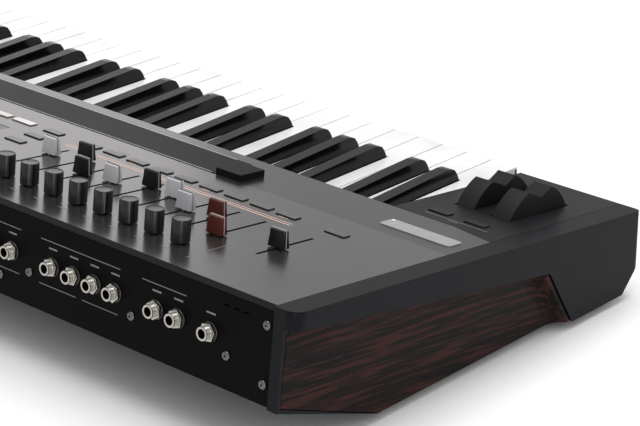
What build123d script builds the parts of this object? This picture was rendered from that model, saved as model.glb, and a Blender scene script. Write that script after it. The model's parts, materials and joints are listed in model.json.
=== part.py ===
"""A 61-key synthesizer with wheels, drawbar faders and encoder knobs, as separate pieces.

Millimetres. +X is the player's right, +Y the rear, +Z up. The origin is at the centre of the
footprint, on the surface the feet stand on. The top panel slopes, so everything on it, and the
rear panel square to it, is laid out in the slope's own frame: x across, v up the slope from the
front edge, h out of the panel.
"""
from build123d import *
import math
import os

os.makedirs("parts", exist_ok=True)

# ---------------------------------------------------------------- case
case_w = 1000.0            # overall width
top_len = 360.2            # front edge to rear edge, up the slope
slope = 7.0                # degrees the top rises towards the rear
foot_h = 6.0
front_z = 65.5             # height of the top panel's front edge
rear_h = 67.4              # height of the rear panel, square to the top
front_face_h = 40.0        # height of the upright front face
bottom_front = 19.0        # how far back the flat bottom starts
bottom_rear = 272.0        # where it ends and the rear underside rises
sheet = 2.0                # steel and aluminium sheet
gap = 0.4                  # gap round fixed panels
cap_w = 17.5               # width of each end cap
cap_overhang = 2.5         # how far the end caps stand out behind the rear panel
cap_web = 3.0              # the end cap's inner wall
wood_front = 78.5          # front edge of the wood's foot, behind the case's front
wood_nose_v = 104.0        # the wood's top front corner, up the slope and below the top
wood_nose_h = -26.7
wood_tail_v = 359.6        # the wood's top rear corner
wood_tail_h = -12.5
wood_corner_r = 8.0
wood_depth = 9.5           # how far the wood lies inside the end cap's outer face
scoop_r = 13.5             # hollow along the wood's front edge
scoop_land = 3.0
foot_r = 10.0
left_cheek_w = 109.4       # case side to the first key, wheel panel included

# ---------------------------------------------------------------- keys
white_pitch = 23.5
key_gap = 1.0
octaves = 5
key_front_y = 1.75         # white key fronts behind the case's front edge
head_len = 49.5            # white key front to the black keys
key_len = 195.0            # white key front to the key's tail
key_top = 4.9              # white key tops above the case's front edge
key_dip = 10.0             # how far a white key's front goes down
key_lip = 18.0             # height of a white key's front
key_plate = 3.0            # thickness of a key's top
key_rib = 1.8
key_rib_h = 14.0
black_w = 11.2
black_top_w = 9.4
black_h = 10.6
black_rear_h = 8.0
black_nose = 7.5           # length of the rounded nose
black_under = 7.0          # how far a black key reaches below the white tops
key_clear = 1.0            # white key to black key
pivot_back = 184.0         # white key front to the hinge rod
pivot_drop = 10.0          # hinge rod below the white key tops
rod_r = 1.5
run_clear = 0.05           # radial clearance of a turning fit

# ---------------------------------------------------------------- top panel controls
panel_front = 146.0        # top panel's front edge, up the slope
panel_lip = 3.5
rear_lip = 4.5
corner_cut = 6.0           # depth of the panel's front corners' slant
corner_run = 36.0
column_x0 = 24.4           # first drawbar column, from the first key's left edge
column_pitch = 24.45
drawbars = 9
slot_w = 2.4
slot_v0 = 246.7
slot_len = 54.6
fader_travel = 48.0
lever_w = 1.2
lever_len = 5.0
cap_x = 13.6               # fader cap across
cap_v = 6.8                # fader cap along its travel
cap_h = 12.4
cap_lift = 0.8
volume_x = -18.0
knob_x0 = 26.5
knob_pitch = 24.4
knob_v = 325.5
knob_r = 6.5
knob_h = 16.4
knob_lift = 0.8
shaft_r = 3.0
button_w = 17.3
button_v = 6.8
button_h = 0.9             # how far a button stands out of the panel
button_travel = 0.8
button_gap = 0.45
row_v = 224.9              # the button row in front of the faders
row_pitch = 18.6
soft_w = 21.0
board_h = 16.0             # panel board's underside below the panel's face
board_t = 1.6
ribbon_x0 = 97.5
ribbon_v = 178.0
ribbon_w = 38.5
ribbon_block = 24.0        # the raised block at each end of the ribbon
ribbon_block_v = 183.7
ribbon_block_len = 25.0
ribbon_block_h = 4.6
ribbon_strip_h = 0.4
display_x0 = 287.0
display_w = 160.0
display_v0 = 244.0
display_len = 86.0
soft_pitch = 26.0
dial_x = 500.0
dial_v = 286.0
dial_r = 24.0
dial_h = 9.0
grid_x = 560.0
grid_columns = 11
grid_pitch = 26.5

# ---------------------------------------------------------------- wheels
wheel_r = 36.5
wheel_w = 15.4
wheel_v = 70.3
wheel_drop = 17.1          # wheel centres below the panel's face
wheel_xs = (-62.6, -31.0)  # pitch wheel, modulation wheel
wheel_gap = 1.0
notch_front = -12.0        # finger notch, along the slope from the wheel's centre
notch_low = -1.8
notch_rear = 14.5
notch_h = 11.3
axle_r = 3.0

# ---------------------------------------------------------------- rear panel
jack_xs = (-37.8, -9.3, 10.1, 48.3, 67.7, 87.5, 107.9, 148.1, 167.9, 187.7)
jack_h = -33.7
jack_reach = 7.5           # bushing out of the rear panel
jack_bush_r = 4.5
jack_bore_r = 3.2
nut_flats = 11.4
nut_t = 2.2
washer_r = 6.6
washer_t = 0.8
din_xs = (240.0, 270.0, 300.0)
din_r = 7.8
usb_xs = (340.0, 366.0)
usb_w = 12.6
usb_hole = 6.2
inlet_x = 770.0
switch_x = 815.0
rocker_pin_r = 1.0
rocker_tilt = 7.0          # how far the rocker leans at each end of its travel
screw_r = 1.5
screw_head_r = 3.2

# ---------------------------------------------------------------- derived sizes
cos = math.cos(math.radians(slope))
sin = math.sin(math.radians(slope))
keys_w = white_pitch * (7 * octaves + 1)
keys_x = -case_w / 2 + left_cheek_w
inner_w = case_w - 2 * cap_w
depth = (top_len + jack_reach) * cos + (jack_bush_r - jack_h) * sin
front_y = -depth / 2
key_y = front_y + key_front_y
key_z = front_z + key_top
pivot_y = key_y + pivot_back
pivot_z = key_z - pivot_drop
floor_z = foot_h + sheet
wall_x = keys_x - 1.5                       # the wheel panel's side wall, beside the keys
right_wall_x = keys_x + keys_w + 1.5
knob_clear_r = shaft_r + 0.7
slope_frame = Plane(origin=(0, front_y, front_z), x_dir=(1, 0, 0), z_dir=(0, -sin, cos))


def block(x0, x1, y0, y1, z0, z1):
    """A box between two corners."""
    return Pos((x0 + x1) / 2, (y0 + y1) / 2, (z0 + z1) / 2) * Box(x1 - x0, y1 - y0, z1 - z0)


def rod(x, y, z, r, length, axis="z"):
    """A cylinder that starts at a point and runs along one axis."""
    turn = {"x": Rot(0, 90, 0), "y": Rot(-90, 0, 0), "z": Rot(0, 0, 0)}[axis]
    return Pos(x, y, z) * turn * Pos(0, 0, length / 2) * Cylinder(r, length)


def on_slope(shape):
    """Moves a shape drawn in the slope's frame (x, v, h) into place."""
    return slope_frame.location * shape


def side_prism(points, x0, x1):
    """A side outline in (y, z), drawn out across from x0 to x1."""
    face = Plane.YZ * make_face(Polyline(*points, close=True))
    return Pos(x0, 0, 0) * extrude(face, amount=x1 - x0, dir=(1, 0, 0))


def spot(v, h):
    """Where a point of the slope's frame is, as (y, z)."""
    return (front_y + v * cos - h * sin, front_z + v * sin + h * cos)


def save(name, *shapes):
    """Writes one node, each shape as a separate solid."""
    solids = [solid for shape in shapes for solid in shape.solids()]
    export_step(Compound(solids), f"parts/{name}.step")


def case_outline(rear_v, lift=0.0):
    """The case's side outline: lift raises the top, rear_v is the rear face."""
    return [
        spot(0, lift),
        (front_y, front_z - front_face_h),
        (front_y + bottom_front, foot_h),
        (front_y + bottom_rear, foot_h),
        spot(rear_v, -rear_h),
        spot(rear_v, lift),
    ]


# ================================================================ end caps and wood
wood_foot = (front_y + wood_front, foot_h)
wood_rise = (wood_tail_h - wood_nose_h) / (wood_tail_v - wood_nose_v)


def wood_face(clearance=0.0):
    """The wood's outline, with its top rear corner rounded."""
    face = make_face(Polyline(
        wood_foot, spot(wood_nose_v, wood_nose_h), spot(wood_tail_v, wood_tail_h),
        spot(wood_tail_v, -rear_h + 2.0), (front_y + bottom_rear, foot_h), close=True))
    face = fillet(face.vertices().sort_by(Axis.Y)[-2:].sort_by(SortBy.DISTANCE)[-1:], wood_corner_r)
    return Plane.YZ * offset(face, amount=-clearance, kind=Kind.INTERSECTION)


def end_cap():
    """The player's left cap: a thick side, cut back over the wood, with a bed that holds the wood."""
    body = side_prism(case_outline(top_len + cap_overhang), -case_w / 2, -case_w / 2 + cap_w)
    body = fillet(body.faces().sort_by(Axis.X)[0].edges().sort_by(Axis.Y)[-1], 9.0)
    body = fillet(body.faces().sort_by(Axis.X)[0].edges().sort_by(Axis.Y)[0], 5.0)
    past_v = top_len + 20.0
    recess = side_prism(
        [(wood_foot[0], -40.0), wood_foot, spot(wood_nose_v, wood_nose_h),
         spot(past_v, wood_nose_h + wood_rise * (past_v - wood_nose_v)), spot(past_v, -rear_h - 60.0)],
        -case_w / 2 - 1, -case_w / 2 + wood_depth)
    bed = Pos(-case_w / 2, 0, 0) * extrude(wood_face(), amount=cap_w - cap_web, dir=(1, 0, 0))
    return body - recess - bed


def wood_panel():
    """A board that lies in the cap's bed, with a scooped front edge that rises to the cap's face."""
    x_in = -case_w / 2 + cap_w - cap_web - 0.1
    x_face = -case_w / 2 + wood_depth
    x_lip = -case_w / 2 + 1.2
    whole = Pos(x_lip, 0, 0) * extrude(wood_face(0.3), amount=x_in - x_lip, dir=(1, 0, 0))
    y0, z0 = wood_foot
    y1, z1 = spot(wood_nose_v, wood_nose_h)
    run = math.hypot(y1 - y0, z1 - z0)
    edge = Plane(origin=(0, y0, z0), x_dir=(1, 0, 0), z_dir=(0, (y1 - y0) / run, (z1 - z0) / run))
    scoop_y = scoop_r + scoop_land
    inner = block(x_face - 40, x_face, scoop_y, case_w, -case_w, case_w)
    tube = Pos(x_face - scoop_r, scoop_y, 0) * Cylinder(scoop_r, 2 * case_w)
    return whole - edge.location * inner - edge.location * tube


left_cap = end_cap()
left_wood = wood_panel()
save("left_end_cap", left_cap)
save("right_end_cap", mirror(left_cap, Plane.YZ))
save("left_wood_panel", left_wood)
save("right_wood_panel", mirror(left_wood, Plane.YZ))

# ================================================================ where the controls are
column_xs = [keys_x + column_x0 + column_pitch * k for k in range(drawbars)]
slot_mid = slot_v0 + slot_len / 2
travel_v0 = slot_mid - fader_travel / 2
# each fader's resting place, from the front end of its travel
drawbar_rest = (44.3, 19.2, 24.3, 10.7, 8.6, 22.8, 28.4, 2.4, 13.7)
volume_rest = 30.6
side_column_x = keys_x + column_x0 + column_pitch * (drawbars + 0.65)
panel_button_spots = (
    [(x, row_v) for x in column_xs]
    + [(side_column_x, row_v + row_pitch * k) for k in range(3)]
    + [(keys_x + volume_x - 2.4, row_v + 1.0)]
    + [(keys_x + grid_x + grid_pitch * c, row_v + row_pitch * 1.5 * r)
       for c in range(grid_columns) for r in range(4)]
)
soft_button_spots = [(keys_x + display_x0 + 6.5 + soft_pitch * k, row_v) for k in range(6)]
wheel_button_spots = [(keys_x + x + 1.6, panel_front - 18.0) for x in wheel_xs]
knob_spots = [(keys_x + knob_x0 + knob_pitch * k, knob_v) for k in range(drawbars)]
fader_spots = list(zip([keys_x + volume_x] + column_xs, (volume_rest,) + drawbar_rest))
dial_spot = (keys_x + dial_x, dial_v)


def button(spot_xv, w=button_w):
    """A flat cap that stands a little out of the panel, on a stem to its switch."""
    x, v = spot_xv
    top_h = button_h
    cap_body = block(x - w / 2, x + w / 2, v - button_v / 2, v + button_v / 2, -4.0, top_h)
    stem = block(x - 2, x + 2, v - 2, v + 2, -board_h + 3.2, -3.5)
    return on_slope(cap_body + stem)


def button_hole(spot_xv, w=button_w):
    x, v = spot_xv
    half_w = w / 2 + button_gap
    half_v = button_v / 2 + button_gap
    return block(x - half_w, x + half_w, v - half_v, v + half_v, -10, 10)


# ================================================================ top panel
panel_x = inner_w / 2 - gap
plate_outline = [
    (-panel_x, panel_front + corner_cut),
    (-panel_x + corner_run, panel_front),
    (panel_x, panel_front),
    (panel_x, top_len),
    (-panel_x, top_len),
]
panel = Pos(0, 0, -sheet) * extrude(make_face(Polyline(*plate_outline, close=True)), amount=sheet)
panel += block(-panel_x + corner_run, panel_x, panel_front, panel_front + sheet, -panel_lip, -0.5)
panel += block(-panel_x, panel_x, top_len - sheet, top_len, -rear_lip, -0.5)
for x, rest in fader_spots:
    panel -= block(x - slot_w / 2, x + slot_w / 2, slot_v0, slot_v0 + slot_len, -10, 10)
for x, v in knob_spots + [dial_spot]:
    panel -= rod(x, v, -10, knob_clear_r, 20)
for place in panel_button_spots:
    panel -= button_hole(place)
for place in soft_button_spots:
    panel -= button_hole(place, soft_w)
display_x = keys_x + display_x0
panel -= block(display_x, display_x + display_w, display_v0, display_v0 + display_len, -10, 10)
save("top_panel", on_slope(panel))

# ================================================================ rear panel
rear_screws = [(keys_x + x, h) for x, h in (
    (-85.0, -15.4), (-85.0, -54.0), (-53.1, -45.2), (31.8, -45.2), (130.0, -44.0), (159.0, -54.0),
    (225.0, -54.0), (320.0, -15.4), (440.0, -54.0), (440.0, -15.4), (600.0, -54.0), (600.0, -15.4),
    (735.0, -54.0), (866.0, -15.4), (866.0, -54.0))]
back_v = top_len - sheet
back = block(-panel_x, panel_x, back_v, top_len, -rear_h + gap, -rear_lip - gap)
for x in jack_xs:
    back -= rod(keys_x + x, back_v - 5, jack_h, jack_bush_r + 0.2, 20, "y")
for x in din_xs:
    back -= rod(keys_x + x, back_v - 5, jack_h, din_r + 0.3, 20, "y")
for x in usb_xs:
    back -= block(keys_x + x - usb_w / 2 - 1.2, keys_x + x + usb_w / 2 + 1.2, back_v - 5, top_len + 5,
                  jack_h - usb_hole / 2 - 1.2, jack_h + usb_hole / 2 + 1.2)
for x, w, tall in ((inlet_x, 27.0, 19.0), (switch_x, 17.0, 23.0)):
    back -= block(keys_x + x - w / 2 - gap, keys_x + x + w / 2 + gap, back_v - 5, top_len + 5,
                  jack_h - tall / 2 - gap, jack_h + tall / 2 + gap)
for x, h in rear_screws:
    back -= rod(x, back_v - 5, h, screw_r + 0.1, 20, "y")
for k in range(3):
    slit_x = keys_x - 50.8 - 8.0 * k
    back -= block(slit_x - 2.4, slit_x + 2.4, back_v - 5, top_len + 5, -13.1, -11.9)
save("rear_panel", on_slope(back))
screws = [on_slope(rod(x, top_len, h, screw_head_r, 1.5, "y") + rod(x, top_len - 7, h, screw_r, 7.5, "y"))
          for x, h in rear_screws]
save("case_screws", *screws)

# ================================================================ sockets on the rear panel
jacks = []
nuts = []
for x in jack_xs:
    jx = keys_x + x
    body = block(jx - 8, jx + 8, back_v - 24, back_v, jack_h - 8, jack_h + 8)
    body -= rod(jx, back_v - 20, jack_h, jack_bore_r + 0.7, 25, "y")
    bushing = rod(jx, back_v, jack_h, jack_bush_r, sheet + jack_reach, "y")
    bushing -= rod(jx, back_v - 5, jack_h, jack_bore_r, sheet + jack_reach + 10, "y")
    jacks += [on_slope(bushing), on_slope(body)]
    washer = rod(jx, top_len, jack_h, washer_r, washer_t, "y")
    hexagon = Plane.XZ * RegularPolygon(nut_flats / math.sqrt(3), 6)
    nut = Pos(jx, top_len + washer_t, jack_h) * extrude(hexagon, amount=-nut_t)
    for piece in (washer, nut):
        piece -= rod(jx, top_len - 5, jack_h, jack_bush_r + 0.02, 30, "y")
        nuts.append(on_slope(piece))
save("jack_sockets", *jacks)
save("jack_nuts", *nuts)

sockets = []
for x in din_xs:
    sx = keys_x + x
    din = block(sx - 10, sx + 10, back_v - 14, back_v, jack_h - 10, jack_h + 10)
    din += rod(sx, back_v - 1, jack_h, din_r, sheet + 1.6, "y")
    din -= rod(sx, top_len - 9, jack_h, din_r - 1.1, 20, "y")
    sockets.append(on_slope(din))
for x in usb_xs:
    sx = keys_x + x
    usb = block(sx - usb_w / 2 - 0.8, sx + usb_w / 2 + 0.8, back_v - 14, top_len + 0.5,
                jack_h - usb_hole / 2 - 0.8, jack_h + usb_hole / 2 + 0.8)
    usb -= block(sx - usb_w / 2, sx + usb_w / 2, top_len - 10, top_len + 5,
                 jack_h - usb_hole / 2, jack_h + usb_hole / 2)
    sockets.append(on_slope(usb))
save("data_sockets", *sockets)

ix = keys_x + inlet_x
inlet = block(ix - 13.5, ix + 13.5, back_v - 20, top_len, jack_h - 9.5, jack_h + 9.5)
inlet += block(ix - 16, ix + 16, top_len, top_len + 1.5, jack_h - 12, jack_h + 12)
inlet -= block(ix - 12, ix + 12, top_len - 16, top_len + 5, jack_h - 8, jack_h + 8)
for dx, dh in ((-7, -2), (0, 2), (7, -2)):
    inlet += block(ix + dx - 1, ix + dx + 1, top_len - 17, top_len - 6, jack_h + dh - 2, jack_h + dh + 2)
wx = keys_x + switch_x
frame = block(wx - 8.5, wx + 8.5, back_v - 16, top_len, jack_h - 11.5, jack_h + 11.5)
frame += block(wx - 10.5, wx + 10.5, top_len, top_len + 1.2, jack_h - 13.5, jack_h + 13.5)
frame -= block(wx - 7.2, wx + 7.2, top_len - 9, top_len + 5, jack_h - 10, jack_h + 10)
frame -= rod(wx - 8.1, top_len, jack_h, rocker_pin_r + run_clear, 16.2, "x")
save("power_entry", on_slope(inlet), on_slope(frame))

rocker_outline = [(-5.0, -8.4), (3.0, -8.8), (1.6, 0.0), (3.0, 8.8), (-5.0, 8.4)]
rocker = extrude(Plane.YZ * make_face(Polyline(*rocker_outline, close=True)), amount=13.6, dir=(1, 0, 0))
rocker += rod(-1.0, 0, 0, rocker_pin_r, 15.6, "x")
rocker = Pos(wx - 6.8, top_len, jack_h) * Rot(-rocker_tilt, 0, 0) * rocker
save("power_rocker", on_slope(rocker))

# ================================================================ bottom pan and feet
shell = side_prism(case_outline(top_len - sheet, 10), -panel_x, panel_x)
inner_face = offset(make_face(Polyline(*case_outline(top_len - sheet, 10), close=True)), amount=-sheet,
                    kind=Kind.INTERSECTION)
shell -= Pos(-panel_x - 1, 0, 0) * extrude(Plane.YZ * inner_face, amount=2 * panel_x + 2, dir=(1, 0, 0))
rail_top = key_z - key_lip - key_dip - 3.0
cheek_low = front_z - front_face_h
rear_low = spot(top_len, -rear_h)
shell -= block(-case_w, case_w, front_y + 10, 400, rear_low[1] - 0.2, 400)
shell -= block(-case_w, case_w, front_y - 10, 400, rail_top, 400)
for x0, x1 in ((-case_w, wall_x + gap), (right_wall_x - gap, case_w)):
    shell -= block(x0, x1, front_y - 10, front_y + 60, cheek_low, 400)
shell = shell.solids().sort_by(SortBy.VOLUME)[-1]
save("bottom_pan", shell)
feet = [rod(sx * (case_w / 2 - 62), front_y + y, 0, foot_r, foot_h) for sx in (-1, 1) for y in (36, 252)]
save("rubber_feet", *feet)

# ================================================================ wheel panel and right cheek
cheek_t = 2.5


def cheek(x0, x1, slant_x):
    """The case's top beside the keys: a sloping plate with a front wall and a wall along the keys."""
    rear_v = panel_front - gap
    outline = [(x0, 0), (x1, 0), (x1, rear_v), (x0, rear_v)]
    if slant_x:
        outline = [(x0, 0), (x1, 0), (x1, rear_v), (x0 + corner_run, rear_v), (x0, rear_v + corner_cut)]
    plate = Pos(0, 0, -cheek_t) * extrude(make_face(Polyline(*outline, close=True)), amount=cheek_t)
    front = side_prism([(front_y, cheek_low + gap), (front_y, front_z), spot(cheek_t, 0),
                        (front_y + cheek_t, cheek_low + gap)], x0, x1)
    side = [(front_y, cheek_low + gap), (front_y, front_z), spot(rear_v, 0),
            (spot(rear_v, 0)[0], cheek_low + gap)]
    side_x = x1 - sheet if slant_x else x0
    return on_slope(plate) + front + side_prism(side, side_x, side_x + sheet)


slot_half = math.sqrt(wheel_r ** 2 - (wheel_drop - cheek_t) ** 2) + 1.2
wheel_half = wheel_w / 2 + wheel_gap
wheel_panel = cheek(-panel_x, wall_x, True)
for x in wheel_xs:
    wx0 = keys_x + x
    wheel_panel -= on_slope(block(wx0 - wheel_half, wx0 + wheel_half, wheel_v - slot_half,
                                  wheel_v + slot_half, -10, 10))
for place in wheel_button_spots:
    wheel_panel -= on_slope(button_hole(place))
save("wheel_panel", wheel_panel)
save("right_cheek_panel", cheek(right_wall_x, panel_x, False))

# ================================================================ wheels and their bracket
wheel_y, wheel_z = spot(wheel_v, -wheel_drop)
notch = [(notch_front, wheel_drop + 17.3), (notch_low, wheel_drop + notch_h),
         (notch_rear, wheel_drop + 17.3), (notch_rear, 2 * wheel_r), (notch_front, 2 * wheel_r)]


def wheel(x):
    """A finger wheel with a notch between two humps, bored for its axle."""
    body = rod(x - wheel_w / 2, 0, 0, wheel_r, wheel_w, "x")
    body -= rod(x - wheel_w, 0, 0, axle_r + run_clear, 2 * wheel_w, "x")
    cut = extrude(Plane.YZ * make_face(Polyline(*notch, close=True)), amount=2 * wheel_w, dir=(1, 0, 0))
    body -= Pos(x - wheel_w, 0, 0) * cut
    return Pos(0, wheel_y, wheel_z) * Rot(slope, 0, 0) * body


save("pitch_wheel", wheel(keys_x + wheel_xs[0]))
save("modulation_wheel", wheel(keys_x + wheel_xs[1]))
plate_t = 1.6
bracket = block(keys_x + wheel_xs[0] - wheel_half - plate_t, keys_x + wheel_xs[1] + wheel_half + plate_t,
                wheel_y - 22, wheel_y + 22, floor_z, floor_z + plate_t)
for x in wheel_xs:
    for side in (-1, 1):
        px = keys_x + x + side * (wheel_half + plate_t / 2)
        bracket += block(px - plate_t / 2, px + plate_t / 2, wheel_y - 10, wheel_y + 10, floor_z, wheel_z + 8)
bracket -= rod(keys_x - left_cheek_w, wheel_y, wheel_z, axle_r + 0.02, left_cheek_w, "x")
axles = [rod(keys_x + x - wheel_half - plate_t, wheel_y, wheel_z, axle_r, 2 * (wheel_half + plate_t), "x")
         for x in wheel_xs]
save("wheel_bracket", bracket, *axles)

# ================================================================ faders and knobs
for index, (x, rest) in enumerate(fader_spots):
    v = travel_v0 + rest
    profile = [(v - cap_v / 2, cap_lift), (v + cap_v / 2, cap_lift),
               (v + cap_v / 2 - 1.1, cap_lift + cap_h), (v - cap_v / 2 + 1.1, cap_lift + cap_h)]
    taper = [(x - cap_x / 2, cap_lift), (x + cap_x / 2, cap_lift),
             (x + cap_x / 2 - 0.7, cap_lift + cap_h), (x - cap_x / 2 + 0.7, cap_lift + cap_h)]
    along = Pos(x - cap_x, 0, 0) * extrude(
        Plane.YZ * make_face(Polyline(*profile, close=True)), amount=2 * cap_x, dir=(1, 0, 0))
    across = Pos(0, v - cap_x, 0) * extrude(
        Plane.XZ * make_face(Polyline(*taper, close=True)), amount=2 * cap_x, dir=(0, 1, 0))
    lever = block(x - lever_w / 2, x + lever_w / 2, v - lever_len / 2, v + lever_len / 2,
                  -board_h + 3.5, cap_lift + 1)
    name = "volume_fader" if index == 0 else f"drawbar_fader_{index}"
    save(name, on_slope((along & across) + lever))

for index, (x, v) in enumerate(knob_spots):
    knob = rod(x, v, knob_lift, knob_r, knob_h - knob_lift)
    knob = chamfer(knob.edges().sort_by(Axis.Z)[-1], 0.6)
    knob += rod(x, v, -board_h + 3.0, shaft_r, board_h - 2.0)
    save(f"encoder_knob_{index + 1}", on_slope(knob))
x, v = dial_spot
dial = chamfer(rod(x, v, knob_lift, dial_r, dial_h - knob_lift).edges().sort_by(Axis.Z)[-1], 1.2)
dial += rod(x, v, -board_h + 3.0, shaft_r, board_h - 2.0)
dial -= Pos(x + dial_r * 0.62, v, dial_h + 4.0) * Sphere(7.0)
save("data_wheel", on_slope(dial))

save("panel_buttons", *[button(place) for place in panel_button_spots])
save("soft_buttons", *[button(place, soft_w) for place in soft_button_spots])
save("wheel_buttons", *[button(place) for place in wheel_button_spots])

# ================================================================ display and ribbon
window = block(display_x + gap, display_x + display_w - gap, display_v0 + gap,
               display_v0 + display_len - gap, -sheet, -0.2)
save("display_window", on_slope(window))
ribbon_x = keys_x + ribbon_x0
strip = block(ribbon_x + ribbon_block, -ribbon_x - ribbon_block, ribbon_v - ribbon_w / 2,
              ribbon_v + ribbon_w / 2, 0, ribbon_strip_h)
for x0 in (ribbon_x, -ribbon_x - ribbon_block):
    strip += block(x0, x0 + ribbon_block, ribbon_block_v - ribbon_block_len / 2,
                   ribbon_block_v + ribbon_block_len / 2, 0, ribbon_block_h)
save("ribbon_strip", on_slope(strip))

# ================================================================ panel board
board_top = -board_h + board_t
boards = [
    block(keys_x - 34, display_x - 6, row_v - 8, knob_v + 14, -board_h, board_top),
    block(display_x + display_w + 8, panel_x - 8, row_v - 8, knob_v + 14, -board_h, board_top),
]
soft_board = block(display_x - 2, display_x + display_w, row_v - 8, display_v0 - 5, -board_h, board_top)
display_module = block(display_x - 3, display_x + display_w + 3, display_v0 - 3,
                       display_v0 + display_len + 3, -10.0, -sheet)
board_parts = [*boards, soft_board, display_module]
for x, rest in fader_spots:
    body = block(x - 4.5, x + 4.5, slot_mid - slot_len / 2 - 9, slot_mid + slot_len / 2 + 5, board_top, -4.0)
    body -= block(x - 1.1, x + 1.1, slot_v0, slot_v0 + slot_len, -board_h + 3.0, 0)
    board_parts.append(body)
for x, v in knob_spots + [dial_spot]:
    body = block(x - 6, x + 6, v - 6, v + 6, board_top, -6.0) + rod(x, v, -6.5, shaft_r + 0.5, 6.0)
    body -= rod(x, v, -board_h + 2.5, shaft_r + run_clear, 20)
    board_parts.append(body)
for x, v in panel_button_spots + soft_button_spots:
    board_parts.append(block(x - 3, x + 3, v - 3, v + 3, board_top, -board_h + 3.2 - button_travel - 0.3))
save("panel_board", *[on_slope(piece) for piece in board_parts])

# ================================================================ keybed
keybed_z = floor_z + 20.0
keybed_y1 = pivot_y + 22.0
keybed_x0 = keys_x - 1.0
keybed_x1 = keys_x + keys_w + 1.0
chassis = block(keybed_x0, keybed_x1, key_y + 12, keybed_y1, keybed_z, keybed_z + sheet)
chassis += block(keybed_x0, keybed_x1, keybed_y1 - sheet, keybed_y1, keybed_z, pivot_z + 2)
for x in (keybed_x0 - sheet, keybed_x1):
    chassis += block(x, x + sheet, pivot_y - 20, keybed_y1, keybed_z, pivot_z + 5)
for x in (keybed_x0 + 10, -5, keybed_x1 - 20):
    for y in (key_y + 20, keybed_y1 - 20):
        chassis += block(x, x + 10, y, y + 10, floor_z, keybed_z + 1)
chassis -= rod(keybed_x0 - 10, pivot_y, pivot_z, rod_r + 0.02, keys_w + 40, "x")
hinge_rod = rod(keybed_x0 - sheet, pivot_y, pivot_z, rod_r, keys_w + 2 + 2 * sheet, "x")
save("keybed_chassis", chassis, hinge_rod)
contact_y = key_y + 75.0
contact = block(keybed_x0 + 4, keybed_x1 - 4, contact_y, contact_y + 60, keybed_z + sheet + 6,
                keybed_z + sheet + 6 + board_t)
posts = [block(x, x + 8, contact_y + 26, contact_y + 34, keybed_z + sheet, keybed_z + sheet + 6)
         for x in (keybed_x0 + 10, -260, -4, 250, keybed_x1 - 20)]
rubber = block(keybed_x0 + 8, keybed_x1 - 8, contact_y + 10, contact_y + 40, keybed_z + sheet + 6 + board_t,
               keybed_z + sheet + 6 + board_t + 6)

# ================================================================ keys
black_offsets = {1: white_pitch - 2.3, 3: 2 * white_pitch + 2.3, 6: 4 * white_pitch - 3.4,
                 8: 5 * white_pitch, 10: 6 * white_pitch + 3.4}
white_steps = (0, 2, 4, 5, 7, 9, 11)
note_names = ("c", "c_sharp", "d", "d_sharp", "e", "f", "f_sharp", "g", "g_sharp", "a", "a_sharp", "b")
octave_w = 7 * white_pitch


def white_key(x0, left_black, right_black):
    """A white key, hollow below: the full-width head, and the tail notched beside the black keys."""
    left = key_gap / 2
    right = white_pitch - key_gap / 2
    tail_left = max(left, left_black + black_w / 2 + key_clear)
    tail_right = min(right, right_black - black_w / 2 - key_clear)
    head_y = head_len - key_clear
    head = block(left, right, 0, head_y, -key_plate, 0)
    head += block(left, right, 0, key_plate, -key_lip, -1)
    head += block(left, right, head_y - key_rib, head_y, -key_rib_h, -1)
    tail = block(tail_left, tail_right, head_y, key_len, -key_plate, 0)
    tail += block(tail_left, tail_right, head_y, head_y + key_rib, -key_rib_h, -1)
    tail += block(tail_left, tail_right, pivot_back - 5, pivot_back + 5, -key_rib_h, -1)
    for side in (0, 1):
        x = (left, right - key_rib)[side]
        head += block(x, x + key_rib, 1, head_y, -key_rib_h, -1)
        x = (tail_left, tail_right - key_rib)[side]
        tail += block(x, x + key_rib, head_y, key_len, -key_rib_h, -1)
    tail -= rod(-white_pitch, pivot_back, -pivot_drop, rod_r + run_clear, 3 * white_pitch, "x")
    return [Pos(x0, key_y, key_z) * head, Pos(x0, key_y, key_z) * tail]


def black_key(x):
    """A black key: a sloping nose, sides that lean in, and a top that falls to the rear."""
    end = key_len - head_len
    side = side_prism([(0, -black_under), (0, 0.3), (0.22 * black_nose, 0.45 * black_h),
                       (0.55 * black_nose, 0.8 * black_h), (black_nose, black_h - 0.5), (black_nose + 5, black_h),
                       (96, black_rear_h), (end, black_rear_h - 2), (end, -key_rib_h), (60, -key_rib_h)],
                      -black_w, black_w)
    section = [(-black_w / 2, -key_rib_h), (black_w / 2, -key_rib_h), (black_w / 2, 0),
               (black_top_w / 2, black_h + 0.5), (-black_top_w / 2, black_h + 0.5), (-black_w / 2, 0)]
    across = extrude(Plane.XZ * make_face(Polyline(*section, close=True)), amount=end, dir=(0, 1, 0))
    key = side & across
    key -= block(-black_w / 2 + key_rib, black_w / 2 - key_rib, 4, pivot_back - head_len - 6, -30, -1)
    key -= rod(-black_w, pivot_back - head_len, -pivot_drop, rod_r + run_clear, 2 * black_w, "x")
    return Pos(x, key_y + head_len, key_z) * key


for step, note in enumerate(note_names):
    group = []
    for octave in range(octaves):
        base = keys_x + octave * octave_w
        if step in black_offsets:
            group.append(black_key(base + black_offsets[step]))
            continue
        x0 = white_steps.index(step) * white_pitch
        left_black = black_offsets.get(step - 1, -octave_w) - x0
        right_black = black_offsets.get(step + 1, octave_w) - x0
        group += white_key(base + x0, left_black, right_black)
    if step == 0:
        group += white_key(keys_x + octaves * octave_w, -octave_w, octave_w)
    save(f"keys_{note}", *group)

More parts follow.
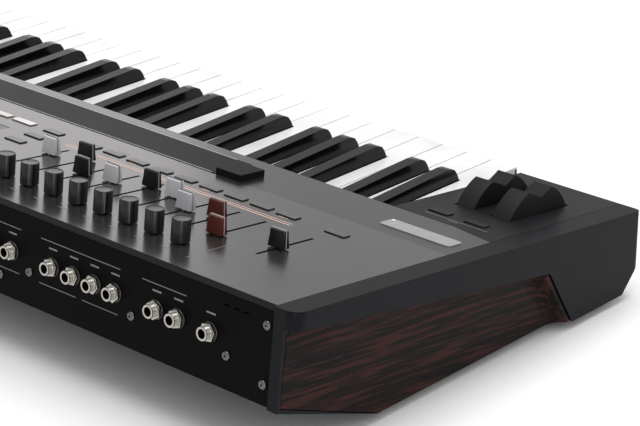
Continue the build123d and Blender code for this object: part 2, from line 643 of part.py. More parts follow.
# ================================================================ boards on the floor
board_y0 = keybed_y1 + 8
board_y1 = front_y + bottom_rear - 4
main = block(-330, -70, board_y0, board_y1, floor_z + 8, floor_z + 8 + board_t)
chips = [block(x, x + 18, board_y0 + 14, board_y0 + 32, floor_z + 8 + board_t, floor_z + 11 + board_t)
         for x in (-310, -270, -220, -170, -120)]
main_posts = [block(x, x + 6, y, y + 6, floor_z, floor_z + 8)
              for x in (-328, -78) for y in (board_y0 + 2, board_y1 - 8)]
save("circuit_boards", main, *chips, *main_posts, contact, rubber, *posts)
supply = block(280, 430, board_y0, board_y1, floor_z + 4, floor_z + 36)
supply_posts = [block(x, x + 8, y, y + 8, floor_z, floor_z + 4)
                for x in (284, 418) for y in (board_y0 + 4, board_y1 - 12)]
save("power_supply", supply, *supply_posts)
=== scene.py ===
import json
import math

import bmesh
import bpy
from mathutils import Matrix, Vector


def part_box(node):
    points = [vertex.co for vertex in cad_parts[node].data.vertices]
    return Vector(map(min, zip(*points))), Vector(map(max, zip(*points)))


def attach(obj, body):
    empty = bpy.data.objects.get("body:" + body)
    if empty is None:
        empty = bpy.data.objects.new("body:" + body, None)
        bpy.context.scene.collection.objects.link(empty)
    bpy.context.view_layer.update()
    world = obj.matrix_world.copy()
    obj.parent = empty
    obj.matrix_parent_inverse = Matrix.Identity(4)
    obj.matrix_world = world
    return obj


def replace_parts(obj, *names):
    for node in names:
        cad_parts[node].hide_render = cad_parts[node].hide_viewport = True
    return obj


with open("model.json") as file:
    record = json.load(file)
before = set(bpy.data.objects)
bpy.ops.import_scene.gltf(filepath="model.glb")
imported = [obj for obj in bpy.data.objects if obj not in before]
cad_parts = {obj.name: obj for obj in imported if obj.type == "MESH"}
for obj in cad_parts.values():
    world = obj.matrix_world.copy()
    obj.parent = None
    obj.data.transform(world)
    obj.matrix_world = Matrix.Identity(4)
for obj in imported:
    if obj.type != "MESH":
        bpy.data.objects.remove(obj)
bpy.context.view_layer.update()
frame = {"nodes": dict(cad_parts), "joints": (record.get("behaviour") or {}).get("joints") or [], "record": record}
MM = 0.001
joints = {joint["name"]: joint for joint in frame["joints"]}
mounts = {mount["name"]: mount for mount in frame["record"]["mounts"]}
body_of_node = {node: body for body, nodes in frame["record"]["behaviour"]["bodies"].items() for node in nodes}

# ---------------------------------------------------------------- the sloping panel's own frame
panel_out = Vector(joints["encoder_knob_1_turn"]["axis"])
panel_up = Vector(joints["volume_fader_slide"]["axis"])
across = Vector((1, 0, 0))
front_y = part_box("wheel_panel")[0].y
crease_v = 197.7
panel_end = 360.2
ribbon_h = 0.4
first_knob = Vector(joints["encoder_knob_1_turn"]["pos_m"])
panel_start = first_knob - panel_up * ((first_knob.y - front_y) / panel_up.y)
keys_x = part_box("keys_c")[0].x - 0.5 * MM
key_pitch = 23.5 * MM
head_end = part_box("keys_c_sharp")[0].y - 1.0 * MM
key_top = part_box("keys_c")[1].z
key_depth = 14             # how deep a finished white key reaches below its top
column_start = 24.4
column_pitch = 24.45
plate_x = (-82.5, -21.3)
plate_v = (169.8, 184.9)
button_shade_rim = 0.65          # height above the panel where a button's top colour starts; below it the sides carry painted shade


def on_panel(x, v, h=0.0):
    """A point of the panel: x across from the lowest key's edge, v up the slope, h out, in mm."""
    start = Vector((keys_x, panel_start.y, panel_start.z))
    return start + (across * x + panel_up * v + panel_out * h) * MM


def on_panel_parts(point):
    """How far across, up and out of the panel a point is, in mm."""
    arm = (Vector(point) - on_panel(0, 0)) / MM
    return arm.dot(across), arm.dot(panel_up), arm.dot(panel_out)


def standing(x, v, h=0.0, turn=0.0):
    """Places a piece made on the flat so that it stands out of the panel."""
    way = Matrix((across, panel_up, panel_out)).transposed().to_4x4()
    return Matrix.Translation(on_panel(x, v, h)) @ way @ Matrix.Rotation(math.radians(turn), 4, "Z")


def behind(x, h, out=0.0, turn=0.0):
    """Places a piece made on the flat so that it stands out of the rear panel."""
    way = Matrix((across, -panel_out, panel_up)).transposed().to_4x4()
    return Matrix.Translation(on_panel(x, rear_v + out, h)) @ way @ Matrix.Rotation(math.radians(turn), 4, "Z")


# ================================================================ finishes
class Value:
    """A node's output, with the arithmetic that the finishes use."""

    def __init__(self, finish, socket):
        self.finish = finish
        self.socket = socket

    def sum_up(self, operation, first, second):
        return self.finish.node("ShaderNodeMath", {"operation": operation}, {0: first, 1: second})

    def __add__(self, other):
        return self.sum_up("ADD", self, other)

    def __sub__(self, other):
        return self.sum_up("SUBTRACT", self, other)

    def __mul__(self, other):
        return self.sum_up("MULTIPLY", self, other)

    def over(self, edge):
        return self.sum_up("GREATER_THAN", self, edge)


class Finish:
    """A material being mixed: one shader, and nodes added by name."""

    def __init__(self, name, colour, roughness, metallic=0.0, **fixed):
        self.material = bpy.data.materials.new(name)
        self.material.use_nodes = True
        self.tree = self.material.node_tree
        self.shader = self.tree.nodes["Principled BSDF"]
        self.put("Base Color", (*colour, 1.0))
        self.put("Roughness", roughness)
        self.put("Metallic", metallic)
        for socket, value in fixed.items():
            self.put(socket.replace("_", " "), value)

    def put(self, socket, value):
        self.join(self.shader.inputs[socket], value)

    def join(self, socket, value):
        if isinstance(value, Value):
            self.tree.links.new(value.socket, socket)
        else:
            socket.default_value = value

    def node(self, kind, settings=None, inputs=None, out=0):
        made = self.tree.nodes.new(kind)
        for name, value in (settings or {}).items():
            if name == "stops":
                self.set_stops(made.color_ramp, value)
            else:
                setattr(made, name, value)
        for name, value in (inputs or {}).items():
            self.join(made.inputs[name], value)
        return Value(self, made.outputs[out])

    def set_stops(self, ramp, stops):
        while len(ramp.elements) > 1:
            ramp.elements.remove(ramp.elements[-1])
        for index, (place, colour) in enumerate(stops):
            element = ramp.elements[0] if index == 0 else ramp.elements.new(place)
            element.position = place
            element.color = (*colour, 1.0)

    def place(self, scale=(1, 1, 1), turn=(0, 0, 0)):
        """The point on the object, stretched for a grain that runs one way."""
        point = self.node("ShaderNodeTexCoord", out="Object")
        if any(turn):
            point = self.node("ShaderNodeMapping", {}, {"Vector": point, "Rotation": turn})
        return self.node("ShaderNodeMapping", {}, {"Vector": point, "Scale": scale})

    def noise(self, scale, stretch=(1, 1, 1), detail=3.0, turn=(0, 0, 0), roughness=0.5):
        where = self.place(stretch, turn)
        return self.node("ShaderNodeTexNoise", {}, {"Vector": where, "Scale": scale, "Detail": detail,
                                                    "Roughness": roughness})

    def axes(self):
        """The object's own x, y and z, one value each."""
        point = self.place()
        return [self.node("ShaderNodeSeparateXYZ", {}, {0: point}, out=k) for k in range(3)]

    def ramp(self, value, stops):
        return self.node("ShaderNodeValToRGB", {"stops": stops}, {0: value})

    def blend(self, mask, first, second):
        """One colour or the other, by mask."""
        made = self.node("ShaderNodeMix", {"data_type": "RGBA"}, {0: mask}, out=2)
        mix = made.socket.node
        for socket, value in ((mix.inputs[6], first), (mix.inputs[7], second)):
            self.join(socket, value if isinstance(value, Value) else (*value, 1.0))
        return made

    def bump(self, height, strength, distance=0.0003):
        self.put("Normal", self.node("ShaderNodeBump", {}, {"Height": height, "Strength": strength,
                                                            "Distance": distance}))


def plastic(name, colour, roughness, grain=2600.0, depth=0.25, spread=0.06, **fixed):
    """Moulded plastic: a fine grain, and a gloss that varies a little over the surface."""
    finish = Finish(name, colour, roughness, **fixed)
    fine = finish.noise(grain, detail=2.0)
    broad = finish.noise(18.0, detail=4.0)
    finish.put("Roughness", broad * spread + (roughness - spread / 2))
    darker = tuple(0.86 * part for part in colour)
    lighter = tuple(1.12 * part for part in colour)
    finish.put("Base Color", finish.ramp(broad, [(0.3, darker), (0.7, lighter)]))
    finish.bump(fine, depth, 0.00006)
    return finish.material


def panel_paint():
    """Satin metallic enamel: fine flake and a soft orange peel, with painted shade: a darker band in front of the
    crease and a near-black rear lip.
    """
    finish = Finish("panel_paint", (0.2, 0.2, 0.2), 0.27, metallic=0.9)
    flake = finish.noise(5200.0, detail=1.0)
    cloud = finish.noise(9.0, detail=3.0)
    tone = flake * 0.6 + cloud * 0.4
    rear = finish.ramp(tone, [(0.25, (0.112, 0.109, 0.109)), (0.75, (0.155, 0.151, 0.15))])
    # the band in front of the crease is painted darker: painted shade standing in for the panel's bend there
    painted_shade_front = finish.ramp(tone, [(0.25, (0.07, 0.07, 0.071)), (0.75, (0.1, 0.099, 0.1))])
    depth = finish.axes()[1]
    both = finish.blend(depth.over(on_panel(0, crease_v).y), painted_shade_front, rear)
    # the rear lip is painted near black: painted shade for the fold that faces away from the light
    lip = depth.over(on_panel(0, panel_end - 0.15).y)
    finish.put("Base Color", finish.blend(lip, both, (0.012, 0.012, 0.012)))
    finish.put("Roughness", cloud * 0.06 + 0.2)
    finish.bump(finish.noise(420.0, detail=2.0), 0.04, 0.0002)
    return finish.material


def black_paint():
    """Black powder coat: a fine pebbled surface."""
    finish = Finish("black_paint", (0.004, 0.004, 0.004), 0.45, Specular_IOR_Level=0.03)
    pebble = finish.noise(1500.0, detail=2.0)
    finish.put("Roughness", pebble * 0.14 + 0.38)
    finish.put("Base Color", finish.ramp(pebble, [(0.3, (0.0018, 0.0018, 0.0018)),
                                                  (0.7, (0.0035, 0.0035, 0.0035))]))
    finish.bump(pebble, 0.3, 0.00012)
    return finish.material


def rosewood():
    """Rosewood under satin lacquer: long dark veins over a red-brown ground, with open pores."""
    finish = Finish("rosewood", (0.03, 0.009, 0.006), 0.5, Specular_IOR_Level=0.07)
    lean = (math.radians(-7.5), 0, 0)
    sway = finish.noise(11.0, (1, 0.5, 1), 3.0, lean)
    grain = finish.noise(520.0, (1, 0.035, 1), 3.0, lean, 0.6)
    vein = finish.noise(230.0, (1, 0.04, 1), 3.0, lean, 0.6)
    pore = finish.noise(1100.0, (1, 0.03, 1), 2.0, lean)
    figure = vein * 0.46 + grain * 0.44 + sway * 0.1
    ground = finish.ramp(figure, [(0.42, (0.0022, 0.0014, 0.0014)), (0.48, (0.006, 0.0026, 0.0024)),
                                  (0.51, (0.02, 0.0075, 0.0065)), (0.57, (0.042, 0.0118, 0.0098)),
                                  (0.64, (0.02, 0.0065, 0.0055))])
    finish.put("Base Color", finish.blend(pore.over(0.62), ground, (0.006, 0.003, 0.002)))
    finish.put("Roughness", figure * 0.25 + 0.24)
    finish.bump(grain + pore * 0.5, 0.25, 0.0002)
    return finish.material


def metal(name, colour, roughness, stretch=(1, 1, 1)):
    """Bare or plated metal with a faint drawn grain."""
    finish = Finish(name, colour, roughness, metallic=1.0)
    drawn = finish.noise(700.0, stretch, 3.0)
    finish.put("Roughness", drawn * 0.16 + (roughness - 0.08))
    low = tuple(0.9 * part for part in colour)
    finish.put("Base Color", finish.ramp(drawn, [(0.3, low), (0.7, colour)]))
    finish.bump(drawn, 0.05, 0.0001)
    return finish.material


def circuit_board():
    """Green solder mask over copper tracks."""
    finish = Finish("board", (0.02, 0.13, 0.05), 0.35)
    track = finish.node("ShaderNodeTexBrick", {}, {
        "Vector": finish.place(), "Scale": 60.0, "Color1": (0.01, 0.10, 0.035, 1),
        "Color2": (0.015, 0.14, 0.05, 1), "Mortar": (0.05, 0.24, 0.09, 1)})
    finish.put("Base Color", track)
    return finish.material


def button_top(name, colour, roughness, metallic, side):
    """A button: its top in one colour, and its sides below the rim painted darker as painted shade."""
    finish = Finish(name, colour, roughness, metallic)
    _, y, z = finish.axes()
    start = on_panel(0, 0)
    height = y * panel_out.y + z * panel_out.z - start.dot(panel_out)
    tone = finish.noise(40.0, detail=3.0)
    darker = tuple(0.9 * part for part in colour)
    lighter = tuple(1.1 * part for part in colour)
    top = finish.ramp(tone, [(0.3, darker), (0.7, lighter)])
    # below the rim the sides take the side colour: painted shade for the shadowed gap round the button
    finish.put("Base Color", finish.blend(height.over(button_shade_rim * MM), side, top))
    finish.put("Metallic", height.over(button_shade_rim * MM) * metallic)
    return finish.material


def black_glass():
    """The display's dark window."""
    finish = Finish("display_glass", (0.003, 0.004, 0.006), 0.12, Specular_IOR_Level=0.25)
    finish.put("Roughness", finish.noise(30.0) * 0.04 + 0.1)
    return finish.material


finishes = {
    "panel_paint": panel_paint(),
    "black_paint": black_paint(),
    "cap_plastic": plastic("cap_plastic", (0.0045, 0.0047, 0.0066), 0.4, Specular_IOR_Level=0.095),
    "cheek_plastic": plastic("cheek_plastic", (0.0068, 0.007, 0.0083), 0.45, Specular_IOR_Level=0.16),
    "rosewood": rosewood(),
    "zinc_steel": metal("zinc_steel", (0.62, 0.62, 0.63), 0.35, (0.1, 1, 1)),
    "supply_steel": metal("supply_steel", (0.55, 0.55, 0.55), 0.4, (0.1, 1, 1)),
    "board": circuit_board(),
    "nickel": metal("nickel", (0.46, 0.44, 0.4), 0.2),
    "dark_washer": metal("dark_washer", (0.09, 0.088, 0.084), 0.3),
    "black_plastic": plastic("black_plastic", (0.012, 0.012, 0.012), 0.4),
    "black_gloss": plastic("black_gloss", (0.012, 0.012, 0.012), 0.2, depth=0.05),
    "black_screw": metal("black_screw", (0.14, 0.137, 0.133), 0.28),
    "rubber": plastic("rubber", (0.014, 0.014, 0.014), 0.75, 1400.0, 0.5),
    "display_glass": black_glass(),
    "ribbon": plastic("ribbon", (0.007, 0.007, 0.0075), 0.4, Specular_IOR_Level=0.05),
    "wheel_plastic": plastic("wheel_plastic", (0.0065, 0.0065, 0.0082), 0.55, Specular_IOR_Level=0.2),
    "knob_plastic": plastic("knob_plastic", (0.006, 0.006, 0.0068), 0.27, depth=0.08, Specular_IOR_Level=0.45),
    "knob_disc": metal("knob_disc", (0.1, 0.1, 0.104), 0.32),
    # the last colour of each button is the painted shade on its sides
    "button_grey": button_top("button_grey", (0.15, 0.148, 0.146), 0.32, 0.9, (0.004, 0.004, 0.004)),
    "button_light": button_top("button_light", (0.62, 0.57, 0.57), 0.4, 0.0, (0.2, 0.18, 0.18)),
    "button_dark": plastic("button_dark", (0.01, 0.01, 0.0125), 0.45, Specular_IOR_Level=0.2),
    "cap_brown": plastic("cap_brown", (0.068, 0.0125, 0.007), 0.34, depth=0.1, Specular_IOR_Level=0.35),
    "cap_white": plastic("cap_white", (0.47, 0.455, 0.48), 0.34, depth=0.1),
    "cap_black": plastic("cap_black", (0.004, 0.004, 0.0045), 0.3, depth=0.1, Specular_IOR_Level=0.35),
    "key_white": plastic("key_white", (0.74, 0.745, 0.74), 0.22, 900.0, 0.03, 0.04),
    "key_black": plastic("key_black", (0.0022, 0.0022, 0.0022), 0.16, 2200.0, 0.03, 0.04, Specular_IOR_Level=0.22),
    "print_white": plastic("print_white", (0.42, 0.415, 0.415), 0.5),
    "print_grey": plastic("print_grey", (0.16, 0.155, 0.155), 0.5),
    "print_cream": plastic("print_cream", (0.62, 0.4, 0.32), 0.5),
    "plate_silver": metal("plate_silver", (0.62, 0.615, 0.6), 0.24, (1, 0.1, 1)),
}
slot_of_node = {entry["node"]: entry["material_slot"] for entry in frame["record"]["subparts"]}
for name, node in frame["nodes"].items():
    for place in node.material_slots:
        place.material = finishes[slot_of_node[name]]


# ================================================================ making pieces
def piece(name, mesh_maker, body, finish):
    """Turns a bmesh into a finished piece on its body."""
    mesh = bpy.data.meshes.new(name)
    bmesh.ops.recalc_face_normals(mesh_maker, faces=mesh_maker.faces)
    mesh_maker.to_mesh(mesh)
    mesh_maker.free()
    made = bpy.data.objects.new(name, mesh)
    bpy.context.collection.objects.link(made)
    made.data.materials.append(finishes[finish])
    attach(made, body)
    return made


def shade(made, angle=32.0):
    """Smooth shading that keeps the real corners sharp."""
    made.data.polygons.foreach_set("use_smooth", [True] * len(made.data.polygons))
    made.data.set_sharp_from_angle(angle=math.radians(angle))
    return made


def eased(node, width, segments=2, angle=30.0, above=-1.0):
    """A CAD node with its edges eased, as a mould or a press leaves them."""
    maker = bmesh.new()
    maker.from_mesh(frame["nodes"][node].data)
    bmesh.ops.remove_doubles(maker, verts=maker.verts, dist=2e-6)
    bmesh.ops.dissolve_limit(maker, angle_limit=math.radians(1.0), verts=maker.verts, edges=maker.edges)
    limit = math.radians(angle)
    for face in maker.faces:
        bent = sum(edge.calc_length() for edge in face.edges if 0.02 < edge.calc_face_angle(0) < limit)
        face.smooth = bent > 0.25 * face.calc_perimeter()
    sharp = [edge for edge in maker.edges
             if edge.is_manifold and edge.calc_face_angle(0) > limit
             and min(vert.co.z for vert in edge.verts) > above]
    rounded = bmesh.ops.bevel(maker, geom=sharp, offset=width * MM, offset_type="OFFSET", affect="EDGES",
                              segments=segments, profile=0.5, material=-1, clamp_overlap=True)
    for face in rounded["faces"]:
        if face.calc_area() < width * MM * max(edge.calc_length() for edge in face.edges):
            face.smooth = True
    for layer in [layer for layer in maker.loops.layers.float_vector.values() if "normal" in layer.name]:
        maker.loops.layers.float_vector.remove(layer)
    rounded_off = [face.smooth for face in maker.faces]
    made = piece(node + "_finished", maker, body_of_node[node], slot_of_node[node])
    if "custom_normal" in made.data.attributes:
        made.data.attributes.remove(made.data.attributes["custom_normal"])
    made.data.set_sharp_from_angle(angle=limit)
    made.data.polygons.foreach_set("use_smooth", rounded_off)
    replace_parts(made, node)
    return made


def turned(profile, steps=32):
    """A shape turned about its own axis, from its radius and height at each corner, in mm."""
    maker = bmesh.new()
    ring = [maker.verts.new((radius * MM, 0, height * MM)) for radius, height in profile]
    edges = [maker.edges.new(pair) for pair in zip(ring, ring[1:])]
    bmesh.ops.spin(maker, geom=ring + edges, cent=(0, 0, 0), axis=(0, 0, 1), angle=2 * math.pi,
                   steps=steps, use_merge=True)
    bmesh.ops.remove_doubles(maker, verts=maker.verts, dist=1e-7)
    return maker


def box(x0, x1, y0, y1, z0, z1):
    """A plain block, in mm."""
    maker = bmesh.new()
    bmesh.ops.create_cube(maker, size=1.0)
    bmesh.ops.scale(maker, vec=Vector((x1 - x0, y1 - y0, z1 - z0)) * MM, verts=maker.verts)
    bmesh.ops.translate(maker, vec=Vector((x0 + x1, y0 + y1, z0 + z1)) * (MM / 2), verts=maker.verts)
    return maker


def soften(maker, width, segments=2, angle=30.0, along=None):
    """Rounds the sharp edges of a shape, or only those that run one way."""
    sharp = []
    for edge in maker.edges:
        way = (edge.verts[1].co - edge.verts[0].co).normalized()
        if edge.calc_face_angle(0) > math.radians(angle) and (along is None or abs(way.dot(along)) > 0.99):
            sharp.append(edge)
    bmesh.ops.bevel(maker, geom=sharp, offset=width * MM, offset_type="OFFSET", affect="EDGES",
                    segments=segments, profile=0.5, material=-1, clamp_overlap=True)
    return maker


def put_together(parts):
    """One shape from several, each moved to its place."""
    whole = bmesh.new()
    for part, place in parts:
        bmesh.ops.transform(part, matrix=place, verts=part.verts)
        mesh = bpy.data.meshes.new("part")
        part.to_mesh(mesh)
        part.free()
        whole.from_mesh(mesh)
        bpy.data.meshes.remove(mesh)
    return whole


def ends_of(points):
    """The low and high corner of the box round some points."""
    spread = [[point[axis] for point in points] for axis in range(3)]
    return Vector([min(part) for part in spread]), Vector([max(part) for part in spread])


def solids_of(node):
    """The low and high corner of each separate solid in a CAD node, from left to right."""
    maker = bmesh.new()
    maker.from_mesh(frame["nodes"][node].data)
    bmesh.ops.remove_doubles(maker, verts=maker.verts, dist=2e-6)
    boxes = []
    left = set(maker.verts)
    while left:
        waiting = [left.pop()]
        found = list(waiting)
        while waiting:
            last = waiting.pop()
            near = {edge.other_vert(last) for edge in last.link_edges} & left
            left -= near
            waiting += near
            found += near
        boxes.append(ends_of([vert.co for vert in found]))
    maker.free()
    return sorted(boxes, key=lambda ends: (ends[0].x + ends[1].x, ends[0].y))


def white_key(head, tail):
    """One key, solid to its depth: its outline, notched where the tail narrows, with eased edges."""
    maker = bmesh.new()
    top = head[1].z
    outline = [(head[0].x, head[0].y), (head[1].x, head[0].y), (head[1].x, head[1].y), (tail[1].x, head[1].y),
               (tail[1].x, tail[1].y), (tail[0].x, tail[1].y), (tail[0].x, head[1].y), (head[0].x, head[1].y)]
    face = maker.faces.new([maker.verts.new((x, y, top)) for x, y in outline])
    depth = bmesh.ops.extrude_face_region(maker, geom=[face])
    lower = [part for part in depth["geom"] if isinstance(part, bmesh.types.BMVert)]
    bmesh.ops.translate(maker, vec=(0, 0, -key_depth * MM), verts=lower)
    bmesh.ops.remove_doubles(maker, verts=maker.verts, dist=2e-5)
    return soften(maker, 0.55, 3)


# ================================================================ case, keys and wheels
rear_v = on_panel_parts(joints["power_rocker_turn"]["pos_m"])[1]
eased("top_panel", 0.35)
for node, width in (("left_end_cap", 1.1), ("right_end_cap", 1.1), ("left_wood_panel", 0.8),
                    ("right_wood_panel", 0.8), ("wheel_panel", 0.5), ("right_cheek_panel", 0.5),
                    ("bottom_pan", 0.5), ("pitch_wheel", 0.45), ("modulation_wheel", 0.45),
                    ("ribbon_strip", 0.3), ("data_sockets", 0.3), ("power_entry", 0.4),
                    ("power_rocker", 0.5), ("data_wheel", 0.6), ("rubber_feet", 0.8),
                    ("panel_buttons", 0.25), ("soft_buttons", 0.25), ("wheel_buttons", 0.25)):
    eased(node, width, 3)
for node in frame["nodes"]:
    if slot_of_node[node] == "key_white":
        keys = []
        corners = [vert.co for vert in frame["nodes"][node].data.vertices]
        for number in sorted({int((corner.x - keys_x) / key_pitch) for corner in corners}):
            own = [corner for corner in corners if int((corner.x - keys_x) / key_pitch) == number]
            head = ends_of([corner for corner in own if corner.y < head_end + 1e-5])
            tail = ends_of([corner for corner in own if corner.y > head_end + 5 * MM])
            head[1].y = head_end
            keys.append((white_key(head, tail), Matrix()))
            lip = [head[0].x / MM, head[1].x / MM, head[0].y / MM, head[0].y / MM + 3, head[0].z / MM,
                   head[1].z / MM - 1.5]
            keys.append((soften(box(*lip), 0.4), Matrix()))
        made = piece(node + "_finished", put_together(keys), body_of_node[node], "key_white")
        made.data.set_sharp_from_angle(angle=math.radians(40.0))
        made.data.polygons.foreach_set("use_smooth", [polygon.area < 6e-6 for polygon in made.data.polygons])
        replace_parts(made, node)
    elif slot_of_node[node] == "key_black":
        eased(node, 1.5, 4, 40.0, above=key_top + 0.2 * MM)

# ================================================================ knobs and fader caps
knob_side = [(0, -13), (3, -13), (3, 0.8), (6.2, 0.8), (6.5, 1.1), (6.42, 15.6), (6.3, 16.1), (5.95, 16.4),
             (5.6, 16.35), (5.4, 16.0), (0, 15.9)]
knob_disc = [(0, 15.9), (5.38, 16.0), (5.2, 16.15), (3.4, 15.95), (0, 15.92)]
pointer_turns = (20, 250, 142, 146, 60, 300, 131, 215, 80)
for number, turn in enumerate(pointer_turns, 1):
    node = f"encoder_knob_{number}"
    x, v, h = on_panel_parts(joints[node + "_turn"]["pos_m"])
    place = standing(x, v, 0, turn)
    knob = shade(piece(node + "_finished", put_together([(turned(knob_side, 40), place)]),
                       body_of_node[node], "knob_plastic"))
    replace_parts(knob, node)
    shade(piece(node + "_disc", put_together([(turned(knob_disc, 40), place)]), body_of_node[node], "knob_disc"))
    pointer = [(box(6.2, 6.5, -0.18, 0.18, 2.0, 16.0), place), (box(5.5, 6.3, -0.18, 0.18, 15.9, 16.4), place)]
    piece(node + "_pointer", put_together(pointer), body_of_node[node], "print_grey")


def fader_cap():
    """A finger cap: hollowed front and rear, a low ridge across the top, rounded edges."""
    maker = box(-6.8, 6.8, -3.4, 3.4, 0.8, 13.2)
    for point, way in (((0, 0, 0), (0, 1, 0)), ((0, 0, 7.5 * MM), (0, 0, 1))):
        bmesh.ops.bisect_plane(maker, geom=maker.verts[:] + maker.edges[:] + maker.faces[:], dist=1e-7,
                               plane_co=point, plane_no=way)
    for vert in maker.verts:
        side = 0 if abs(vert.co.y) < 1e-6 else math.copysign(1.0, vert.co.y)
        if vert.co.z > 13 * MM:
            vert.co = (vert.co.x * 0.9, side * 2.35 * MM, (13.2 if side == 0 else 12.6) * MM)
        elif vert.co.z > 7 * MM:
            vert.co = (vert.co.x * 0.955, side * 2.45 * MM, vert.co.z)
    return soften(maker, 0.4, 3, 25.0)


for node in ["volume_fader"] + [f"drawbar_fader_{number}" for number in range(1, 10)]:
    corners = [on_panel_parts(vert.co) for vert in frame["nodes"][node].data.vertices]
    crown = [corner for corner in corners if corner[2] > 12.0]
    place = standing(*(sum(corner[axis] for corner in crown) / len(crown) for axis in (0, 1)))
    lever = box(-0.6, 0.6, -2.5, 2.5, -12.5, 1.8)
    cap = shade(piece(node + "_finished", put_together([(fader_cap(), place), (lever, place)]),
                      body_of_node[node], slot_of_node[node]))
    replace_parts(cap, node)
    mark = box(-6.84, 6.84, -0.28, 0.28, 1.1, 13.26)
    for vert in mark.verts:
        if vert.co.z > 10 * MM:
            vert.co.x *= 0.905
    mark_finish = "cap_black" if slot_of_node[node] == "cap_white" else "print_white"
    piece(node + "_mark", put_together([(mark, place)]), body_of_node[node], mark_finish)

# ================================================================ rear panel's hardware
bushing_crests = [(4.4, 1.0)]
for step in range(7):
    bushing_crests += [(4.62, 3.1 + 0.58 * step), (4.4, 3.39 + 0.58 * step)]
bushing_crests += [(4.35, 7.3), (4.1, 7.48), (3.4, 7.48), (3.3, 7.3), (3.7, 6.8), (4.3, 6.0), (4.4, 1.0)]
washer_edge = [(4.55, 0), (6.6, 0), (6.6, 0.6), (6.4, 0.8), (4.55, 0.8), (4.55, 0)]
nut_edge = [(4.6, 0.8), (6.58, 0.8), (6.58, 3.0), (4.6, 3.0), (4.6, 0.8)]
threads = []
washers = []
hex_nuts = []
for number in range(1, 11):
    x, v, h = on_panel_parts(mounts[f"jack_socket_{number}"]["pos_m"])
    threads.append((turned(bushing_crests, 40), behind(x, h)))
    washers.append((turned(washer_edge, 40), behind(x, h)))
    hex_nuts.append((soften(turned(nut_edge, 6), 0.3), behind(x, h, 0, 11 * number)))
shade(piece("jack_threads", put_together(threads), "case", "nickel"))
washers = shade(piece("jack_washers", put_together(washers), "case", "dark_washer"))
hex_nuts = shade(piece("jack_hex_nuts", put_together(hex_nuts), "case", "nickel"))
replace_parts(washers, "jack_nuts")
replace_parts(hex_nuts, "jack_nuts")


def cross_screw():
    """A pan-head screw with a cross recess."""
    maker = turned([(1.5, -7), (1.5, 0), (3.2, 0), (3.2, 0.5), (2.9, 1.05), (2.3, 1.4), (1.8, 1.5)], 16)
    bmesh.ops.holes_fill(maker, edges=[edge for edge in maker.edges if edge.is_boundary], sides=0)
    head = max(maker.faces, key=lambda face: face.calc_center_median().z)
    bmesh.ops.inset_region(maker, faces=[head], thickness=0.15 * MM)
    for number, vert in enumerate(head.verts):
        vert.co.xy *= 1.0 if number % 4 == 0 else 0.42
    bmesh.ops.inset_region(maker, faces=[head], thickness=0.02 * MM)
    bmesh.ops.translate(maker, vec=(0, 0, -0.9 * MM), verts=head.verts)
    return maker


screws = []
for low, high in solids_of("case_screws"):
    x, v, h = on_panel_parts((low + high) / 2)
    screws.append((cross_screw(), behind(x, h, 0, 37 * len(screws))))
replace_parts(shade(piece("case_screws_finished", put_together(screws), "case", "black_screw")), "case_screws")

# ================================================================ plate and printed lines
plate = soften(box(*plate_x, *plate_v, -0.1, 0.7), 3.2, 6, along=Vector((0, 0, 1)))
plate_top = max(plate.faces, key=lambda face: face.calc_center_median().z)
bmesh.ops.inset_region(plate, faces=[plate_top], thickness=0.7 * MM)
bmesh.ops.inset_region(plate, faces=[plate_top], thickness=0.25 * MM)
bmesh.ops.translate(plate, vec=(0, 0, -0.2 * MM), verts=plate_top.verts)
shade(piece("maker_plate", put_together([(plate, standing(0, 0))]), "case", "plate_silver"))


def stroke(start, end, width, place):
    """A printed line between two points of a panel."""
    run = Vector(end) - Vector(start)
    line = box(0, run.length, -width / 2, width / 2, -0.03, 0.05)
    turn = Matrix.Rotation(math.atan2(run.y, run.x), 4, "Z")
    return line, place @ Matrix.Translation(Vector((start[0], start[1], 0)) * MM) @ turn


top = standing(0, 0)
back = behind(0, 0)
columns = [column_start + column_pitch * step for step in range(9)]
over_ribbon = standing(0, 0, ribbon_h)
white_lines = [stroke((125, 196.6), (656, 196.6), 0.8, over_ribbon),
               stroke((136, 159.2), (645, 159.2), 0.8, over_ribbon)]
piece("panel_lines", put_together(white_lines), "case", "print_white")
cream_lines = [stroke((10, 239.5), (232, 239.5), 1.2, top), stroke((10, 236.4), (232, 236.4), 0.8, top)]
cream_lines += [stroke((x - 4, 230.3), (x + 4, 230.3), 0.7, top) for x in columns[::3]]
piece("panel_cream_lines", put_together(cream_lines), "case", "print_cream")
marks = [stroke((3, 343.8), (8, 216.9), 0.5, top)]
marks += [stroke((x - 3.5, 233.2), (x + 3.5, 233.2), 0.6, top) for x in columns]
marks += [stroke((x - 5, 341.0), (x + 4, 341.0), 0.6, top) for x in columns]
marks += [stroke((x - 7, 217.0), (x + 5, 217.0), 0.6, top) for x in columns[1::2]]
marks += [stroke((-26, 232.5), (-14, 232.5), 0.7, top), stroke((-24, 349.0), (-12, 349.0), 0.6, top)]
piece("panel_marks", put_together(marks), "case", "print_grey")
cheek_lines = [stroke((-76, 136.0), (-22, 136.0), 0.6, top), stroke((-53, 138.2), (-44, 138.2), 0.7, top)]
piece("cheek_lines", put_together(cheek_lines), "case", "print_grey")
rear_lines = [stroke(start, end, 0.5, back) for start, end in (
    ((44, 16.9), (120, 16.9)), ((44, 47.9), (78, 47.9)), ((84, 47.9), (120, 47.9)),
    ((-16, 16.9), (24, 16.9)), ((140, 16.9), (196, 16.9)), ((140, 47.9), (196, 47.9)),
    ((230, 16.9), (310, 16.9)), ((330, 16.9), (376, 16.9)))]
piece("rear_lines", put_together(rear_lines), "case", "print_grey")
rear_marks = []
for number in range(1, 11):
    x, v, h = on_panel_parts(mounts[f"jack_socket_{number}"]["pos_m"])
    rear_marks.append(stroke((x - 4, 21.5), (x + 4, 21.5), 1.1, back))
piece("rear_marks", put_together(rear_marks), "case", "print_grey")

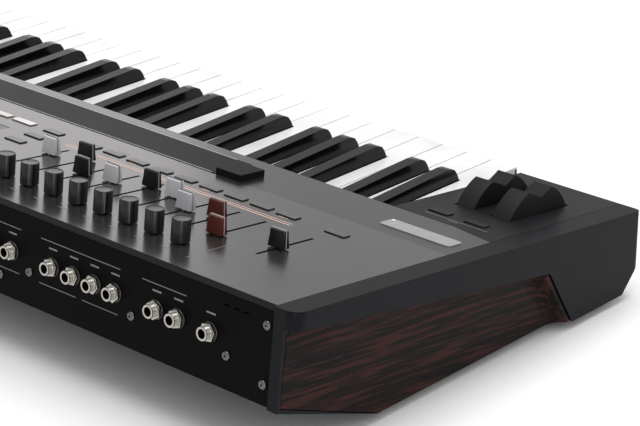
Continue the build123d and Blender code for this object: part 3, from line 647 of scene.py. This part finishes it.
# ================================================================ stage, lights and camera
def stage():
    """A pale floor."""
    maker = bmesh.new()
    bmesh.ops.create_grid(maker, x_segments=2, y_segments=2, size=12.0)
    mesh = bpy.data.meshes.new("floor")
    maker.to_mesh(mesh)
    maker.free()
    floor = bpy.data.objects.new("floor", mesh)
    bpy.context.collection.objects.link(floor)
    finish = Finish("floor_white", (0.9, 0.9, 0.9), 0.6)
    floor.data.materials.append(finish.material)


def area_light(name, place, aim, size, power, colour=(1, 1, 1)):
    lamp = bpy.data.lights.new(name, "AREA")
    lamp.shape = "RECTANGLE"
    lamp.size = size[0]
    lamp.size_y = size[1]
    lamp.energy = power
    lamp.color = colour
    made = bpy.data.objects.new(name, lamp)
    made.visible_camera = False
    made.location = place
    made.rotation_euler = (Vector(aim) - Vector(place)).to_track_quat("-Z", "Y").to_euler()
    bpy.context.collection.objects.link(made)


def camera():
    """From behind the player's left end, above the case."""
    eye = Vector((-1.3396, 1.0793, 0.6914))
    yaw = math.radians(137.77)
    pitch = math.radians(22.71)
    look = Vector((math.sin(yaw) * math.cos(pitch), math.cos(yaw) * math.cos(pitch), -math.sin(pitch)))
    lens = bpy.data.cameras.new("view")
    lens.sensor_width = 36.0
    lens.lens = 129.1
    lens.clip_end = 50.0
    made = bpy.data.objects.new("view", lens)
    made.location = eye
    made.rotation_euler = look.to_track_quat("-Z", "Y").to_euler()
    bpy.context.collection.objects.link(made)
    bpy.context.scene.camera = made


stage()
area_light("overhead", (-0.3, -0.1, 2.2), (0, 0, 0), (2.4, 1.6), 40.0)
area_light("left_rear", (-2.2, 0.9, 1.4), (-0.3, 0, 0.1), (1.2, 1.2), 6.0)
area_light("player_side", (2.15, -1.95, 0.72), (-0.15, 0.0, 0.1), (0.9, 0.8), 2.2, (1.0, 0.96, 0.96))
area_light("low_strip", (-2.1, 1.75, 0.4), (-0.3, 0.1, 0.1), (0.25, 0.7), 5.0)
camera()
world = bpy.data.worlds.new("studio")
world.use_nodes = True
world.node_tree.nodes["Background"].inputs["Color"].default_value = (1.0, 1.0, 1.0, 1.0)
world.node_tree.nodes["Background"].inputs["Strength"].default_value = 0.66
bpy.context.scene.world = world
bpy.context.scene.view_settings.view_transform = "Standard"
